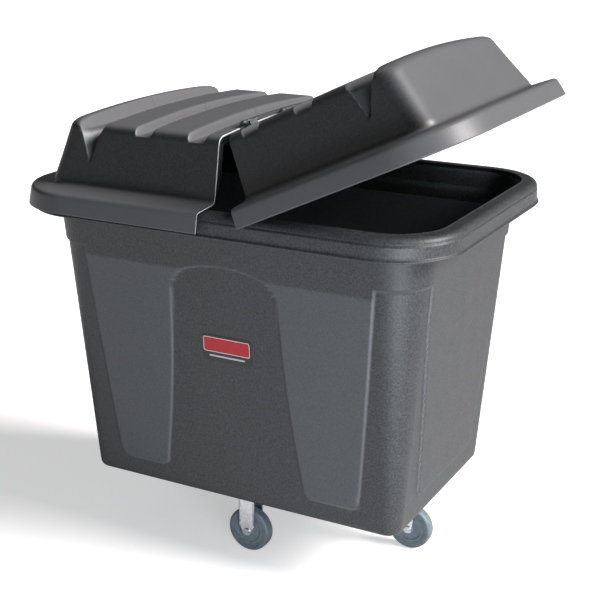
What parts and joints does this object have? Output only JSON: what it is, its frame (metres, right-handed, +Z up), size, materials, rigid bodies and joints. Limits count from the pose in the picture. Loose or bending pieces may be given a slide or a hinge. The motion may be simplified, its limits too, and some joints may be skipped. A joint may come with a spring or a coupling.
{
  "type": "wheeled tub truck with hinged dome lid",
  "caption": "Tapered moulded plastic tub truck on casters, with a domed two-piece lid, one half hinged at the middle and drawn half open.",
  "frame": {"origin": "centre of the flat underside of the tub, between the four caster plates; the wheels reach 164 mm below it", "axes": "+X along the tub towards the hinged half of the lid, -Y out of the long side that carries the label, +Z up"},
  "size_m": [1.1683, 0.835, 1.2685],
  "materials": {
    "tub_plastic": "fine-grained moulded polyethylene, satin",
    "lid_plastic": "fine-grained moulded polyethylene, satin",
    "label_film": "printed film",
    "tread_rubber": "smooth grey rubber",
    "hub_plastic": "moulded polyolefin",
    "bush_nylon": "plain nylon",
    "zinc_steel": "bright zinc-plated pressing",
    "bolt_steel": "zinc-plated fastener",
    "black_steel": "black-passivated steel"
  },
  "bodies": {
    "truck": {"tub": "tub_plastic", "label": "label_film", "fixed_lid": "lid_plastic", "lid_screws": "bolt_steel", "fixed_leaves": "black_steel", "fixed_leaf_bolts": "black_steel", "fixed_leaf_nuts": "black_steel", "hinge_pins": "black_steel", "caster_bolts": "bolt_steel", "caster_washers": "zinc_steel", "caster_nuts": "bolt_steel", "front_fork": "zinc_steel", "front_axle": "bolt_steel", "front_axle_nut": "bolt_steel", "back_fork": "zinc_steel", "back_axle": "bolt_steel", "back_axle_nut": "bolt_steel", "left_plate": "zinc_steel", "left_race": "zinc_steel", "left_kingpin": "bolt_steel", "right_plate": "zinc_steel", "right_race": "zinc_steel", "right_kingpin": "bolt_steel"},
    "lid": {"hinged_lid": "lid_plastic", "moving_leaves": "black_steel", "moving_leaf_bolts": "black_steel", "moving_leaf_nuts": "black_steel"},
    "left_swivel": {"left_fork": "zinc_steel", "left_axle": "bolt_steel", "left_axle_nut": "bolt_steel"},
    "right_swivel": {"right_fork": "zinc_steel", "right_axle": "bolt_steel", "right_axle_nut": "bolt_steel"},
    "front_wheel": {"front_bush": "bush_nylon", "front_hub": "hub_plastic", "front_tyre": "tread_rubber"},
    "back_wheel": {"back_bush": "bush_nylon", "back_hub": "hub_plastic", "back_tyre": "tread_rubber"},
    "left_wheel": {"left_bush": "bush_nylon", "left_hub": "hub_plastic", "left_tyre": "tread_rubber"},
    "right_wheel": {"right_bush": "bush_nylon", "right_hub": "hub_plastic", "right_tyre": "tread_rubber"}
  },
  "joints": [
    {"name": "lid_hinge", "type": "hinge", "parent": "truck", "child": "lid", "pos_m": [0, 0, 0.9294], "axis": [0, -1, 0], "range_deg": [-25, 152]},
    {"name": "left_turn", "type": "hinge", "parent": "truck", "child": "left_swivel", "pos_m": [-0.322, 0, -0.01], "axis": [0, 0, 1], "continuous": true},
    {"name": "right_turn", "type": "hinge", "parent": "truck", "child": "right_swivel", "pos_m": [0.322, 0, -0.01], "axis": [0, 0, 1], "continuous": true},
    {"name": "front_roll", "type": "hinge", "parent": "truck", "child": "front_wheel", "pos_m": [0, -0.202, -0.107], "axis": [0, 1, 0], "continuous": true},
    {"name": "back_roll", "type": "hinge", "parent": "truck", "child": "back_wheel", "pos_m": [0, 0.202, -0.107], "axis": [0, 1, 0], "continuous": true},
    {"name": "left_roll", "type": "hinge", "parent": "left_swivel", "child": "left_wheel", "pos_m": [-0.322, 0.03, -0.107], "axis": [-1, 0, 0], "continuous": true},
    {"name": "right_roll", "type": "hinge", "parent": "right_swivel", "child": "right_wheel", "pos_m": [0.352, 0, -0.107], "axis": [0, 1, 0], "continuous": true}
  ]
}
